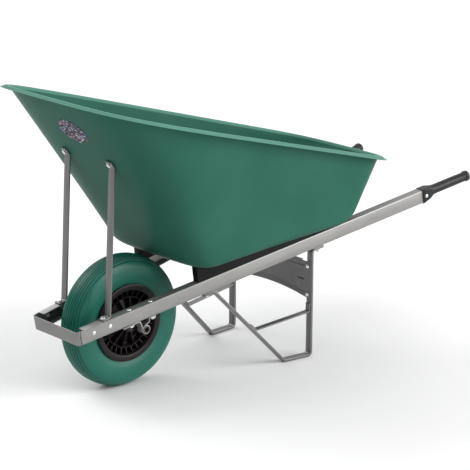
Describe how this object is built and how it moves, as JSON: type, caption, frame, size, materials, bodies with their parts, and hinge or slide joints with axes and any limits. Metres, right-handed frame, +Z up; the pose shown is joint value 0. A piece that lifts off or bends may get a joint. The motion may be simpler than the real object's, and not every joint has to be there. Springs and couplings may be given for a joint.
{
  "type": "wheelbarrow",
  "caption": "Garden wheelbarrow with a deep moulded tray on a bolted channel-steel frame, a spoked wheel with a solid tyre at the nose, bent-bar legs and moulded hand grips.",
  "frame": {"origin": "on the ground, below the middle of the whole barrow's bounding box", "axes": "+X from the wheel back to the handles, along the barrow's length; +Y to the user's right; +Z up"},
  "size_m": [1.4895, 0.694, 0.9034],
  "materials": {
    "galvanised_steel": "dull galvanised",
    "zinc_bolt": "bright zinc",
    "tray_green": "satin moulded",
    "tyre_green": "satin foam tyre",
    "wedge_black": "matt",
    "rim_black": "satin moulded",
    "grip_black": "satin moulded",
    "bush_grey": "matt"
  },
  "bodies": {
    "frame": {"axle_tube": "galvanised_steel", "axle_spacer_left": "rim_black", "axle_bracket_left": "galvanised_steel", "axle_spacer_right": "rim_black", "axle_bracket_right": "galvanised_steel", "nose_strap": "galvanised_steel", "cross_plate": "galvanised_steel", "tray": "tray_green", "rail_left": "galvanised_steel", "wedge_left": "wedge_black", "strut_left": "galvanised_steel", "leg_left": "galvanised_steel", "leg_brace_left": "galvanised_steel", "grip_left": "grip_black", "rail_right": "galvanised_steel", "wedge_right": "wedge_black", "strut_right": "galvanised_steel", "leg_right": "galvanised_steel", "leg_brace_right": "galvanised_steel", "grip_right": "grip_black", "nose_bolt_left_1": "zinc_bolt", "bracket_bolt_left_1": "zinc_bolt", "leg_bolt_left_1": "zinc_bolt", "plate_bolt_left_1": "zinc_bolt", "tray_bolt_left_1": "zinc_bolt", "nose_bolt_left_2": "zinc_bolt", "bracket_bolt_left_2": "zinc_bolt", "leg_bolt_left_2": "zinc_bolt", "plate_bolt_left_2": "zinc_bolt", "tray_bolt_left_2": "zinc_bolt", "strut_foot_bolt_left": "zinc_bolt", "strut_top_bolt_left": "zinc_bolt", "grip_screw_left": "zinc_bolt", "nose_bolt_right_1": "zinc_bolt", "bracket_bolt_right_1": "zinc_bolt", "leg_bolt_right_1": "zinc_bolt", "plate_bolt_right_1": "zinc_bolt", "tray_bolt_right_1": "zinc_bolt", "nose_bolt_right_2": "zinc_bolt", "bracket_bolt_right_2": "zinc_bolt", "leg_bolt_right_2": "zinc_bolt", "plate_bolt_right_2": "zinc_bolt", "tray_bolt_right_2": "zinc_bolt", "strut_foot_bolt_right": "zinc_bolt", "strut_top_bolt_right": "zinc_bolt", "grip_screw_right": "zinc_bolt"},
    "wheel": {"tyre": "tyre_green", "wheel_centre": "rim_black", "hub_bush_left": "bush_grey", "hub_bush_right": "bush_grey"}
  },
  "joints": [
    {"name": "wheel_spin", "type": "hinge", "parent": "frame", "child": "wheel", "pos_m": [-0.4836, 0, 0.2], "axis": [0, 1, 0], "continuous": true}
  ]
}
